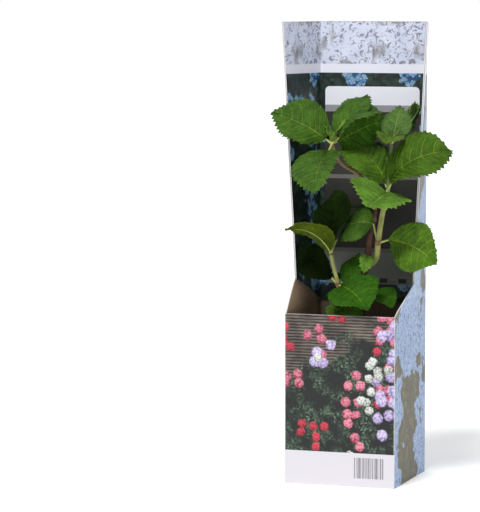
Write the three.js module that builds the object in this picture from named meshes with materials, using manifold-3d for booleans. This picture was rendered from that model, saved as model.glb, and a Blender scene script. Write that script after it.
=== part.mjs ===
// A young hydrangea in a round nursery pot, standing in an open-fronted carton of printed board.
// Millimetres, +Z up. The origin is the middle of the carton's underside, its low front panel
// faces -Y and its tall back panel faces +Y.
import * as THREE from "three";
import { mergeVertices } from "three/addons/utils/BufferGeometryUtils.js";
import Module from "manifold-3d";

const wasm = await Module();
wasm.setup();

// Carton: a square sleeve with a low front, a tall back and two side wings that lean outwards.
const CARTON_WIDTH = 125;
const CARTON_HEIGHT = 504;
const FRONT_HEIGHT = 187;
const WING_FOOT_HEIGHT = 220;
const WING_FOOT_WIDTH = 70.5;
const WING_TOP_WIDTH = 75.5;
const FOOT_SPLAY = 5.6;
const TOP_SPLAY = 16.5;
const SPLAY_POWER = 1.4;
const BOARD = 1.5;
const LINING = 0.8;
const LINING_FOOT = 190;
const LINING_RISE = 30;

// Pot and soil.
const POT_HEIGHT = 98;
const POT_RIM_RADIUS = 54;
const POT_FOOT_RADIUS = 40;
const POT_WALL = 1.5;
const RIM_DEPTH = 9;
const SOIL_DROP = 8;

// Leaves and stalks.
const LEAF_THICKNESS = 1;
const LEAF_STATIONS = 8;
const LEAF_CELLS = 4;
const STALK_RADIUS = 1.5;
const STALK_SUNK = 0.14;

// Clearance that touching pieces keep.
const GAP = 0.3;

const HALF = CARTON_WIDTH / 2;
const SOIL_TOP = BOARD + GAP + POT_HEIGHT - SOIL_DROP;
const radians = THREE.MathUtils.degToRad;

const finishes = {
  board: { color: 0x2d4038, roughness: 0.6, metalness: 0 },
  lining: { color: 0x33474a, roughness: 0.55, metalness: 0 },
  kraft: { color: 0x8a7564, roughness: 0.85, metalness: 0 },
  pot: { color: 0x23252a, roughness: 0.5, metalness: 0 },
  soil: { color: 0x2a1c14, roughness: 1, metalness: 0 },
  wood: { color: 0x5a3a2c, roughness: 0.8, metalness: 0 },
  shoot: { color: 0x8f9a45, roughness: 0.6, metalness: 0 },
  leaf: { color: 0x4c7d2c, roughness: 0.55, metalness: 0 },
};

const plant = new THREE.Group();

function addMesh(name, finish, geometry) {
  const mesh = new THREE.Mesh(geometry, new THREE.MeshStandardMaterial(finishes[finish]));
  mesh.name = name;
  plant.add(mesh);
}

// A closed solid through a row of loops, each anticlockwise about the way the row runs. The
// second half of a loop is cut on the other diagonal, so that a thin sheet keeps its thickness.
function loft(loops) {
  const count = loops[0].length;
  const positions = loops.flat().flatMap((point) => point.toArray());
  const index = [];
  for (let row = 0; row + 1 < loops.length; row += 1) {
    for (let i = 0; i < count; i += 1) {
      const a = row * count + i;
      const b = row * count + ((i + 1) % count);
      if (i < count / 2) index.push(a, b, b + count, a, b + count, a + count);
      else index.push(a, b, a + count, b, b + count, a + count);
    }
  }
  const capLoop = (loop, first, flip) => {
    const middle = new THREE.Vector3();
    loop.forEach((point) => middle.addScaledVector(point, 1 / count));
    const hub = positions.length / 3;
    positions.push(...middle.toArray());
    for (let i = 0; i < count; i += 1) {
      const a = first + i;
      const b = first + ((i + 1) % count);
      index.push(...(flip ? [hub, b, a] : [hub, a, b]));
    }
  };
  capLoop(loops[0], 0, true);
  capLoop(loops.at(-1), (loops.length - 1) * count, false);
  const geometry = new THREE.BufferGeometry();
  geometry.setAttribute("position", new THREE.Float32BufferAttribute(positions, 3));
  geometry.setIndex(index);
  return geometry;
}

function toSolid(geometry) {
  const bare = geometry.clone();
  bare.deleteAttribute("normal");
  bare.deleteAttribute("uv");
  const merged = mergeVertices(bare, 1e-5);
  return new wasm.Manifold(new wasm.Mesh({
    numProp: 3,
    vertProperties: new Float32Array(merged.attributes.position.array),
    triVerts: new Uint32Array(merged.index.array),
  }));
}

function toGeometry(solid) {
  const mesh = solid.getMesh();
  const geometry = new THREE.BufferGeometry();
  geometry.setAttribute("position", new THREE.BufferAttribute(mesh.vertProperties, 3));
  geometry.setIndex(new THREE.BufferAttribute(mesh.triVerts, 1));
  return geometry;
}

// Carton panels

// How far a side has swung out about the back fold at a height: not at all up to the front's
// height, slowly more along the slanting cut, then evenly up the wing.
function splayAt(z) {
  const cut = Math.max(0, z - FRONT_HEIGHT) / (WING_FOOT_HEIGHT - FRONT_HEIGHT);
  if (cut < 1) return radians(FOOT_SPLAY) * cut ** SPLAY_POWER;
  const up = (z - WING_FOOT_HEIGHT) / (CARTON_HEIGHT - WING_FOOT_HEIGHT);
  return radians(FOOT_SPLAY + (TOP_SPLAY - FOOT_SPLAY) * up);
}

// A point of a side panel: how far it lies from the back fold, how deep inside, how high.
function sidePoint(side, along, depth, z) {
  const swing = splayAt(z);
  return new THREE.Vector3(
    side * (HALF + along * Math.sin(swing) - depth * Math.cos(swing)),
    HALF - along * Math.cos(swing) - depth * Math.sin(swing),
    z,
  );
}

// A side panel between two heights; its reach from the fold and its foot are functions.
function sidePanel(side, heights, from, reach, outer, inner) {
  const loops = heights.map((height) => {
    const near = from(height);
    const far = reach(height);
    const corners = [
      sidePoint(side, near.along, outer, near.z),
      sidePoint(side, far.along, outer, far.z),
      sidePoint(side, far.along, inner, far.z),
      sidePoint(side, near.along, inner, near.z),
    ];
    return side > 0 ? corners.reverse() : corners;
  });
  return loft(loops);
}

// How far a side panel reaches from the fold: in full up to the front's height, then along the
// slanting cut, then along the wing, which widens upwards.
function wingReach(z) {
  const cut = Math.max(0, z - FRONT_HEIGHT) / (WING_FOOT_HEIGHT - FRONT_HEIGHT);
  if (cut < 1) return CARTON_WIDTH - (CARTON_WIDTH - WING_FOOT_WIDTH) * cut;
  const up = (z - WING_FOOT_HEIGHT) / (CARTON_HEIGHT - WING_FOOT_HEIGHT);
  return WING_FOOT_WIDTH + (WING_TOP_WIDTH - WING_FOOT_WIDTH) * up;
}

function upTo(start, end, steps) {
  return Array.from({ length: steps + 1 }, (_, i) => start + ((end - start) * i) / steps);
}

function box(x0, x1, y0, y1, z0, z1) {
  const geometry = new THREE.BoxGeometry(x1 - x0, y1 - y0, z1 - z0);
  return geometry.translate((x0 + x1) / 2, (y0 + y1) / 2, (z0 + z1) / 2);
}

function buildCarton() {
  const inside = HALF - BOARD - GAP;
  addMesh("carton_base", "kraft", box(-inside, inside, -inside, inside, 0, BOARD));
  addMesh("carton_back_panel", "board", box(-inside, inside, HALF - BOARD, HALF, 0, CARTON_HEIGHT));
  addMesh("carton_front_panel", "board", box(-inside, inside, -HALF, BOARD - HALF, 0, FRONT_HEIGHT));
  const heights = [0, FRONT_HEIGHT, ...upTo(FRONT_HEIGHT, WING_FOOT_HEIGHT, 6).slice(1),
    ...upTo(WING_FOOT_HEIGHT, CARTON_HEIGHT, 8).slice(1)];
  const fold = (z) => ({ along: 0, z });
  const edge = (z) => ({ along: wingReach(z), z });
  addMesh("carton_left_side", "board", sidePanel(-1, heights, fold, edge, 0, BOARD));
  addMesh("carton_right_side", "board", sidePanel(1, heights, fold, edge, 0, BOARD));
  buildLining(heights.slice(1));
}

// The inner ply: one sheet on the back panel and one on each wing, whose foot runs down to the fold.
function buildLining(heights) {
  const outer = BOARD + GAP;
  const back = HALF - outer;
  const width = HALF - outer - LINING - GAP;
  addMesh("lining_back", "lining", box(-width, width, back - LINING, back, LINING_FOOT, CARTON_HEIGHT));
  const fold = (z) => ({ along: outer + GAP, z });
  const edge = (z) => ({ along: wingReach(Math.max(z, WING_FOOT_HEIGHT)) - 1, z });
  const below = box(-CARTON_WIDTH, CARTON_WIDTH, -2 * CARTON_WIDTH, CARTON_WIDTH, -CARTON_WIDTH, 0);
  below.rotateX(-Math.atan(LINING_RISE / WING_FOOT_WIDTH)).translate(0, HALF, LINING_FOOT);
  [-1, 1].forEach((side) => {
    const sheet = toSolid(sidePanel(side, heights, fold, edge, outer, outer + LINING));
    addMesh(side < 0 ? "lining_left" : "lining_right", "lining", toGeometry(sheet.subtract(toSolid(below))));
  });
}

// Pot and soil

function buildPot() {
  const floor = BOARD + GAP;
  const top = floor + POT_HEIGHT;
  const wallAt = (z) => POT_FOOT_RADIUS + ((POT_RIM_RADIUS - 3 - POT_FOOT_RADIUS) * (z - floor)) / POT_HEIGHT;
  const shoulder = top - RIM_DEPTH;
  const outline = [
    [0, floor],
    [POT_FOOT_RADIUS, floor],
    [wallAt(shoulder), shoulder],
    [POT_RIM_RADIUS - 1, shoulder],
    [POT_RIM_RADIUS, top],
    [POT_RIM_RADIUS - 3, top],
    [wallAt(shoulder) - POT_WALL, shoulder - 3],
    [POT_FOOT_RADIUS - POT_WALL, floor + POT_WALL],
    [0, floor + POT_WALL],
  ].map(([r, z]) => new THREE.Vector2(r, z));
  addMesh("nursery_pot", "pot", new THREE.LatheGeometry(outline, 28).rotateX(Math.PI / 2));

  const innerAt = (z) => wallAt(z) - POT_WALL - GAP * 1.6;
  const soil = [
    [0, floor + POT_WALL + GAP],
    [innerAt(floor + POT_WALL), floor + POT_WALL + GAP],
    [innerAt(shoulder - 6), shoulder - 6],
    [innerAt(shoulder - 6), SOIL_TOP - 1.5],
    [innerAt(shoulder) - 6, SOIL_TOP],
    [0, SOIL_TOP],
  ].map(([r, z]) => new THREE.Vector2(r, z));
  addMesh("potting_soil", "soil", new THREE.LatheGeometry(soil, 28).rotateX(Math.PI / 2));
}

// Stems

// A tapering round limb along a smooth curve. Flare widens its foot, grow adds to it all round.
function limb({ path, from, to, flare = 0, sides = 8, step = 13 }, grow = 0) {
  const curve = new THREE.CatmullRomCurve3(path.map((p) => new THREE.Vector3(...p)));
  const stations = Math.max(2, Math.round(curve.getLength() / step));
  const frames = curve.computeFrenetFrames(stations, false);
  const loops = frames.tangents.map((tangent, i) => {
    const part = i / stations;
    const spread = flare * Math.max(0, 1 - part * stations / 2) ** 2;
    const radius = from + (to - from) * part + spread + grow;
    const middle = curve.getPointAt(part);
    const end = i === 0 ? -grow : i === stations ? grow : 0;
    middle.addScaledVector(tangent, end);
    return Array.from({ length: sides }, (_, k) => {
      const turn = (2 * Math.PI * k) / sides;
      return middle.clone()
        .addScaledVector(frames.normals[i], radius * Math.cos(turn))
        .addScaledVector(frames.binormals[i], radius * Math.sin(turn));
    });
  });
  return toSolid(loft(loops));
}

const NODES = {
  crownLeft: [-18.5, -32, 371.5],
  crownRight: [45, -31, 322.5],
  apex: [48, -30, 373],
  middle: [34, -31, 264.5],
  sprayLeft: [-19.5, -32, 251],
  sprayLow: [-12.5, -27, 217],
  lowLeft: [-9.5, -17.5, 189],
  sprout: [16, -8.5, 247],
  lowRight: [8, -4, 203],
  backHigh: [22.5, -10.5, 288],
  backLow: [9, -4, 212],
};

const mainStem = {
  path: [[0, 2, SOIL_TOP + GAP], [0, 2, SOIL_TOP + 12], [3, 0, 145], [6.5, -3, 190], [11.5, -6, 231],
    [16, -8.5, 252], [18.5, -10, 268], [24.5, -11, 299]],
  from: 5.2,
  to: 3,
  flare: 3,
  sides: 10,
};
const leftBough = {
  path: [[24.5, -11, 296], [22, -12, 318], [6, -15, 338], [-9, -20, 348], [-14.5, -25, 356],
    NODES.crownLeft],
  from: 2.7,
  to: 2,
};
const rightBough = {
  path: [[13, -7, 236], [22, -13, 240], [30, -23, 248], NODES.middle, [39, -31, 297],
    [44.5, -31, 319]],
  from: 3.2,
  to: 2.8,
};
const lowBough = {
  path: [[1, 1, 122], [-5, -9, 160], NODES.lowLeft, NODES.sprayLow, [-16, -30, 234], NODES.sprayLeft],
  from: 3,
  to: 2.1,
};

function buildStems() {
  const solids = {
    main_stem: limb(mainStem),
    left_bough: limb(leftBough).subtract(limb(mainStem, GAP)),
    right_bough: limb(rightBough).subtract(limb(mainStem, GAP)),
    low_bough: limb(lowBough).subtract(limb(mainStem, GAP)),
  };
  addMesh("main_stem", "wood", toGeometry(solids.main_stem));
  addMesh("left_bough", "wood", toGeometry(solids.left_bough));
  addMesh("right_bough", "shoot", toGeometry(solids.right_bough));
  addMesh("low_bough", "shoot", toGeometry(solids.low_bough));
}

// Leaves

// The half width of a blade at a part of its length, as a share of its widest half.
function halfWidth(part, shoulder) {
  if (part <= 0 || part >= 1) return 0;
  return Math.sin(Math.PI * part ** (Math.log(0.5) / Math.log(shoulder))) ** 0.8;
}

// One leaf from its node: a stalk, then a blade that droops and sweeps along its length, is
// folded along its midrib, curls across and is rolled about its own line. Angles in degrees.
function leaf(node, spec) {
  const { azimuth, rise, stalk, length, width } = spec;
  const { nod = 0, droop = 0, sweep = 0, fold = 10, curl = 8, roll = 0, shoulder = 0.44 } = spec;
  const heading = (up) => new THREE.Vector3(
    Math.cos(radians(up)) * Math.cos(radians(azimuth)),
    Math.cos(radians(up)) * Math.sin(radians(azimuth)),
    Math.sin(radians(up)),
  );
  const forward = heading(rise);
  const level = new THREE.Vector3(-Math.sin(radians(azimuth)), Math.cos(radians(azimuth)), 0);
  const face = new THREE.Vector3().crossVectors(forward, level);
  const side = level.clone().applyAxisAngle(forward, radians(roll));
  face.applyAxisAngle(forward, radians(roll));

  const foot = new THREE.Vector3(...node);
  const at = foot.clone().addScaledVector(heading(rise + nod), stalk);
  const midrib = [];
  const loops = [];
  for (let i = 0; i <= LEAF_STATIONS; i += 1) {
    const part = i / LEAF_STATIONS;
    const bend = radians(droop) * part;
    const turn = radians(sweep) * part;
    const down = forward.clone().multiplyScalar(Math.cos(bend)).addScaledVector(face, -Math.sin(bend));
    const up = face.clone().multiplyScalar(Math.cos(bend)).addScaledVector(forward, Math.sin(bend));
    const along = down.clone().multiplyScalar(Math.cos(turn)).addScaledVector(side, Math.sin(turn));
    const across = side.clone().multiplyScalar(Math.cos(turn)).addScaledVector(down, -Math.sin(turn));
    const half = Math.max(0.7, (width / 2) * halfWidth(part, shoulder));
    const tilt = radians(fold) * (1.35 - 0.7 * part);
    const arc = radians(curl) || 1e-4;
    const top = [];
    const under = [];
    for (let j = -LEAF_CELLS / 2; j <= LEAF_CELLS / 2; j += 1) {
      const out = Math.abs(j) / (LEAF_CELLS / 2);
      const lean = tilt - arc * out;
      const reach = (half * (Math.sin(tilt) - Math.sin(lean))) / arc;
      const lift = (half * (Math.cos(lean) - Math.cos(tilt))) / arc;
      const way = Math.sign(j);
      const point = at.clone().addScaledVector(across, way * reach).addScaledVector(up, lift);
      const normal = j === 0 ? up.clone() : up.clone().multiplyScalar(Math.cos(lean))
        .addScaledVector(across, -way * Math.sin(lean));
      top.unshift(point);
      under.push(point.clone().addScaledVector(normal, -LEAF_THICKNESS));
    }
    loops.push([...top, ...under]);
    if (part < STALK_SUNK * 2) midrib.push(at.clone().addScaledVector(up, -LEAF_THICKNESS));
    at.addScaledVector(along, length / LEAF_STATIONS);
  }
  const stalkPath = [foot, foot.clone().lerp(midrib[0], 0.5), ...midrib].map((p) => p.toArray());
  const stem = limb({ path: stalkPath, from: STALK_RADIUS, to: STALK_RADIUS * 0.6, sides: 5, step: 9 });
  return toSolid(loft(loops)).add(stem);
}

// Each mass: the limb that carries it, its node on that limb, its leaves, and its own stem to a
// tip with leaves of its own, if it has one.
const masses = {
  crown_left_foliage: {
    carrier: leftBough,
    node: NODES.crownLeft,
    leaves: [
      { azimuth: 196, rise: 35, nod: 6, stalk: 9, length: 69, width: 56, droop: 37, sweep: 8, fold: 16,
        curl: 1, roll: -64, shoulder: 0.41 },
      { azimuth: -14, rise: 70, nod: -26, stalk: 11, length: 63, width: 61, droop: 108, sweep: -3,
        fold: 14, curl: 3, roll: 49, shoulder: 0.46 },
      { azimuth: 262, rise: -26, nod: -11, stalk: 15, length: 71, width: 60, droop: 26, sweep: 19,
        fold: 18, curl: 8, roll: 10, shoulder: 0.4 },
      { azimuth: 61, rise: 22, nod: -9, stalk: 9, length: 67, width: 55, droop: -24, sweep: -4,
        fold: 6, curl: 6, roll: 88, shoulder: 0.38 },
      { azimuth: 23, rise: 60, nod: 3, stalk: 13, length: 57, width: 43, droop: 39, sweep: 23, fold:
        9, curl: 12, roll: 28, shoulder: 0.58 },
      { azimuth: 135, rise: 25, stalk: 9, length: 50, width: 38, droop: 25, fold: 12 },
      { azimuth: -20, rise: 62, stalk: 3, length: 30, width: 20, droop: 20, fold: 22, roll: 40 },
      { azimuth: 165, rise: 74, stalk: 3, length: 24, width: 15, droop: 30, fold: 25 },
    ],
  },
  crown_right_foliage: {
    carrier: rightBough,
    node: NODES.crownRight,
    leaves: [
      { azimuth: 201, rise: 70, stalk: 7, length: 73, width: 57, droop: 96, sweep: 8, fold: 2, curl: 12,
        roll: -51, shoulder: 0.46 },
      { azimuth: -56, rise: 42, nod: 2, stalk: 12, length: 89, width: 63, droop: 116, sweep: 24,
        fold: 13, curl: 5, roll: 79, shoulder: 0.53 },
      { azimuth: 271, rise: -9, nod: -8, stalk: 10, length: 63, width: 72, droop: 4, sweep: -7,
        fold: 18, curl: 1, roll: -21, shoulder: 0.46 },
      { azimuth: 125, rise: 64, stalk: 11, length: 50, width: 40, droop: 22, fold: 14, shoulder: 0.42 },
    ],
    stem: { path: [[44.5, -31, 319], NODES.crownRight, [46.5, -30.5, 348], NODES.apex], from: 2.6, to: 1.8 },
    tip: NODES.apex,
    tipLeaves: [
      { azimuth: 72, rise: 27, nod: 5, stalk: 28, length: 49, width: 30, droop: -17, sweep: -5,
        fold: 13, curl: 12, roll: -82, shoulder: 0.54 },
      { azimuth: 88, rise: 52, nod: -11, stalk: 5, length: 46, width: 34, droop: -3, fold: 7, curl: 11,
        roll: 12 },
      { azimuth: 286, rise: 34, nod: 6, stalk: 4, length: 36, width: 30, droop: 88, sweep: -8, fold: 15,
        curl: 13, roll: -11, shoulder: 0.47 },
      { azimuth: 190, rise: 68, stalk: 2, length: 15, width: 9, droop: 20, fold: 25 },
      { azimuth: 10, rise: 68, stalk: 2, length: 15, width: 9, droop: 20, fold: 25 },
    ],
  },
  left_spray_foliage: {
    carrier: lowBough,
    node: NODES.sprayLeft,
    leaves: [
      { azimuth: 186, rise: 58, nod: 26, stalk: 3, length: 61, width: 42, droop: 84, sweep: -11,
        fold: 18, curl: 18, roll: 46, shoulder: 0.4 },
      { azimuth: 82, rise: 73, nod: 10, stalk: 9, length: 68, width: 52, droop: 19, sweep: 26, fold: 17,
        curl: 9, roll: -15, shoulder: 0.53 },
      { azimuth: 20, rise: 70, stalk: 3, length: 17, width: 9, droop: 10, fold: 25 },
    ],
  },
  middle_right_leaf: {
    carrier: rightBough,
    node: NODES.middle,
    leaves: [
      { azimuth: -20, rise: -4, nod: 20, stalk: 15, length: 78, width: 56, droop: -17, sweep: -35,
        fold: 9, curl: 9, roll: 74, shoulder: 0.49 },
    ],
  },
  middle_left_leaf: {
    carrier: rightBough,
    node: NODES.middle,
    leaves: [
      { azimuth: 185, rise: 11, nod: 63, stalk: 22, length: 57, width: 45, droop: 102, sweep: 27,
        fold: 2, curl: 23, roll: -54, shoulder: 0.38 },
    ],
  },
  low_left_leaf: {
    carrier: lowBough,
    node: NODES.sprayLow,
    leaves: [
      { azimuth: 157, rise: 33, stalk: 12, length: 57, width: 43, sweep: -10, fold: 28, curl: -3, roll: -72,
        shoulder: 0.46 },
    ],
  },
  low_front_leaf: {
    carrier: lowBough,
    node: NODES.sprayLow,
    leaves: [
      { azimuth: 319, rise: -7, stalk: 7, length: 63, width: 60, droop: 21, sweep: -24, fold: 16,
        curl: 6, roll: 30, shoulder: 0.45 },
    ],
  },
  low_inner_leaf: {
    carrier: lowBough,
    node: NODES.sprayLow,
    leaves: [
      { azimuth: 37, rise: 50, nod: -13, stalk: 6, length: 37, width: 28, droop: -8, sweep: 12, fold: 4,
        curl: 15, roll: 30, shoulder: 0.41 },
    ],
  },
  foot_left_leaf: {
    carrier: lowBough,
    node: NODES.lowLeft,
    leaves: [
      { azimuth: 289, rise: -6, nod: 31, stalk: 12, length: 36, width: 42, droop: 72, sweep: 2,
        fold: 11, curl: 14, roll: -4, shoulder: 0.48 },
    ],
  },
  foot_right_leaf: {
    carrier: mainStem,
    node: NODES.lowRight,
    leaves: [
      { azimuth: 325, rise: -1, nod: 10, stalk: 20, length: 42, width: 32, droop: 24, sweep: -32, fold: 24,
        curl: 5, roll: 23 },
    ],
  },
  sprout_leaf: {
    carrier: mainStem,
    node: NODES.sprout,
    leaves: [
      { azimuth: 282, rise: -18, nod: 24, stalk: 12, length: 24, width: 17, droop: 74, sweep: -4, fold: 30,
        curl: 1, roll: -9, shoulder: 0.41 },
    ],
  },
  back_upper_leaf: {
    carrier: mainStem,
    node: NODES.backHigh,
    leaves: [
      { azimuth: 140, rise: 15, nod: 10, stalk: 14, length: 54, width: 42, droop: 30, fold: 12 },
    ],
  },
  back_lower_leaf: {
    carrier: mainStem,
    node: NODES.backLow,
    leaves: [
      { azimuth: 150, rise: 15, nod: 10, stalk: 14, length: 50, width: 38, droop: 25, fold: 12 },
    ],
  },
};

function buildMass(name, { carrier, node, stem, leaves, tip, tipLeaves = [] }) {
  const solids = leaves.map((spec) => leaf(node, spec));
  solids.push(...tipLeaves.map((spec) => leaf(tip, spec)));
  if (stem) solids.push(limb(stem));
  const joined = solids.reduce((whole, next) => whole.add(next));
  addMesh(name, "leaf", toGeometry(joined.subtract(limb(carrier, GAP))));
}

buildCarton();
buildPot();
buildStems();
Object.entries(masses).forEach(([name, mass]) => buildMass(name, mass));

export default plant;
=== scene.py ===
import random
from math import cos, exp, log, pi, radians, sin, sqrt

import bmesh
import bpy
from mathutils import Matrix, Vector, noise


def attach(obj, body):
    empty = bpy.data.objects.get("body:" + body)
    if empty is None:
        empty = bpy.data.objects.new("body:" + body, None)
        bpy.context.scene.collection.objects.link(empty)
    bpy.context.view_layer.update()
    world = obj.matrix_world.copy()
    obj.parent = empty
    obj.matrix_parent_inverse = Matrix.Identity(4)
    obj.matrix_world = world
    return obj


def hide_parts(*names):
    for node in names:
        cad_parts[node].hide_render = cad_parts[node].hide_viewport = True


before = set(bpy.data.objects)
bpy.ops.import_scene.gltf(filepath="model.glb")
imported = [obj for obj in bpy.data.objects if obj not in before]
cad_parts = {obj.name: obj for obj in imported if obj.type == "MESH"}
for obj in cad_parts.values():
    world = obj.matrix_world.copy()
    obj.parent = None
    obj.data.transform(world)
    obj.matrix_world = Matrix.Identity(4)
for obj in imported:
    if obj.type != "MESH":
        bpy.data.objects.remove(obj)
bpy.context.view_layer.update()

# The view: a long lens from in front, a little to the right and above, with the carton standing
# right of the middle of the frame.
LOOK_DOWN, LOOK_ASIDE = 5.21, 18.92


def new_object(name, data):
    made = bpy.data.objects.new(name, data)
    bpy.context.collection.objects.link(made)
    return made


camera = new_object("camera", bpy.data.cameras.new("camera"))
camera.data.lens = 204
camera.data.sensor_fit = "VERTICAL"
camera.data.sensor_height = 36
camera.location = (0.9122, -3.0569, 0.5371)
camera.rotation_euler = (radians(90 - LOOK_DOWN), 0, radians(LOOK_ASIDE))
bpy.context.scene.camera = camera
bpy.context.scene.view_settings.view_transform = "Standard"


# The studio: a plain pale floor without an edge in view, pale air all round, one broad soft
# light from high in front on the left, and two weak soft boxes.
def tone(red, green, blue):
    """A colour as a screen shows it, 0 to 255, turned into the renderer's linear values."""
    parts = [v / 255 for v in (red, green, blue)]
    return (*[v / 12.92 if v <= 0.04045 else ((v + 0.055) / 1.055) ** 2.4 for v in parts], 1)


class Wire:
    """What comes out of a shader node. It adds up and compares like a plain number, and []
    picks another output of the same node."""

    def __init__(self, node, output=0):
        self.node, self.tree, self.socket = node, node.id_data, node.outputs[output]

    __getitem__ = lambda self, output: Wire(self.node, output)
    __add__ = lambda self, other: calc("ADD", self, other)
    __sub__ = lambda self, other: calc("SUBTRACT", self, other)
    __rsub__ = lambda self, other: calc("SUBTRACT", other, self)
    __mul__ = lambda self, other: calc("MULTIPLY", self, other)
    __gt__ = lambda self, other: calc("GREATER_THAN", self, other)
    __lt__ = lambda self, other: calc("LESS_THAN", self, other)
    __abs__ = lambda self: calc("ABSOLUTE", self)


def feed(node, inputs):
    """Puts values and Wires on a node's inputs. Three numbers on a colour are a screen's."""
    for name, value in inputs.items():
        socket = node.inputs[name]
        if isinstance(value, Wire):
            node.id_data.links.new(value.socket, socket)
        elif socket.type == "RGBA" and len(value) == 3:
            socket.default_value = tone(*value)
        else:
            socket.default_value = value


def add(tree, kind, inputs=None, output=0, **settings):
    """A new shader node, as the Wire from one of its outputs."""
    made = tree.nodes.new(f"ShaderNode{kind}")
    for name, value in settings.items():
        setattr(made, name, value)
    feed(made, inputs or {})
    return Wire(made, output)


def calc(operation, *values):
    """A sum of up to three numbers, at least one of them a Wire."""
    tree = next(value.tree for value in values if isinstance(value, Wire))
    return add(tree, "Math", dict(enumerate(values)), operation=operation)


def mix(share, below, above):
    """A colour between two others."""
    return add(share.tree, "Mix", {0: share, 6: below, 7: above}, 2, data_type="RGBA")


def new_material(name):
    """An empty material, and its Principled shader."""
    material = bpy.data.materials.new(name)
    material.use_nodes = True
    return material, material.node_tree.nodes["Principled BSDF"]


FLOOR_REACH = 25
corners = [(x * FLOOR_REACH, y * FLOOR_REACH, 0) for x, y in ((-1, -1), (1, -1), (1, 1), (-1, 1))]
floor_mesh = bpy.data.meshes.new("floor")
floor_mesh.from_pydata(corners, [], [(0, 1, 2, 3)])
floor = new_object("floor", floor_mesh)
floor_paper, shader = new_material("floor_paper")
feed(shader, {"Base Color": (250, 250, 250), "Roughness": 0.9,
              "Emission Color": (1, 1, 1, 1), "Emission Strength": 0.2})
floor_mesh.materials.append(floor_paper)

world = bpy.data.worlds.new("studio")
world.use_nodes = True
seen = add(world.node_tree, "LightPath")["Is Camera Ray"]
air = mix(seen, (0.48, 0.485, 0.5, 1), (1, 1, 1, 1))
feed(world.node_tree.nodes["Background"], {"Color": air})
bpy.context.scene.world = world

for name, kind, place, aim, size, power in (
    ("key", "SUN", (0, 0, 0), (0.08, 0.79, -1.1), radians(16), 2.3),
    ("fill", "AREA", (2, -1.6, 1.1), (0, 0, 0.25), 1.2, 7),
    ("rim", "AREA", (-1.4, 1.6, 1.6), (0, 0, 0.25), 1, 8),
):
    lamp = new_object(name, bpy.data.lights.new(name, kind))
    setattr(lamp.data, "angle" if kind == "SUN" else "size", size)
    lamp.data.energy = power
    lamp.location = place
    lamp.rotation_euler = (Vector(aim) - Vector(place)).to_track_quat("-Z", "Y").to_euler()


# The sleeve: one blank of thin printed board, creased at four corners and glued, with a low
# front, a tall back and two wings that lean out over a slanting cut. Printed outside, bare inside.
WIDTH, HEIGHT = 0.125, 0.504
HALF = WIDTH / 2
FRONT = 0.187
WING_FOOT = 0.220
WING_FOOT_WIDTH, WING_TOP_WIDTH = 0.0705, 0.0755
FOOT_SPLAY, TOP_SPLAY = radians(5.6), radians(16.5)
SPLAY_POWER = 1.4
BOARD = 0.0015
HEADER_FOOT, STRIP_FOOT, FOOT_STRIP = 0.4565, 0.4465, 0.037
WARP = 0.0005


def splay_at(z):
    """How far a wing has swung out about its back crease at a height."""
    cut = max(0, z - FRONT) / (WING_FOOT - FRONT)
    if cut < 1:
        return FOOT_SPLAY * cut ** SPLAY_POWER
    return FOOT_SPLAY + (TOP_SPLAY - FOOT_SPLAY) * (z - WING_FOOT) / (HEIGHT - WING_FOOT)


def side_point(side, along, depth, z):
    """A point of a side: how far from the back crease, how deep inside, how high."""
    swing = splay_at(z)
    depth += WARP * noise.noise(Vector((side * 3, along * 18, z * 9))) * min(1, along / 0.05)
    return Vector((side * (HALF + along * sin(swing) - depth * cos(swing)),
                   HALF - along * cos(swing) - depth * sin(swing), z))


def wall_point(panel, place, depth, z):
    """A point of one of the four walls; place is along a side at the foot of its wing, or x on
    the front and the back."""
    if panel == "back":
        return Vector((place, HALF - depth, z))
    if panel == "front":
        return Vector((place, depth - HALF, z))
    climb = max(0, z - WING_FOOT) / (HEIGHT - WING_FOOT)
    place *= 1 + (WING_TOP_WIDTH / WING_FOOT_WIDTH - 1) * climb
    inset = depth * (1 - sin(splay_at(z))) / cos(splay_at(z))
    return side_point(-1 if panel == "left" else 1, min(max(place, inset), WIDTH - depth), depth, z)


def spread(start, end, steps):
    return [start + (end - start) * i / steps for i in range(steps + 1)]


def new_piece(name, mesh, materials):
    """The finished mesh as an object, with its faces turned outwards."""
    bmesh.ops.recalc_face_normals(mesh, faces=mesh.faces)
    data = bpy.data.meshes.new(name)
    mesh.to_mesh(data)
    mesh.free()
    for material in materials:
        data.materials.append(material)
    return new_object(name, data)


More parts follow.
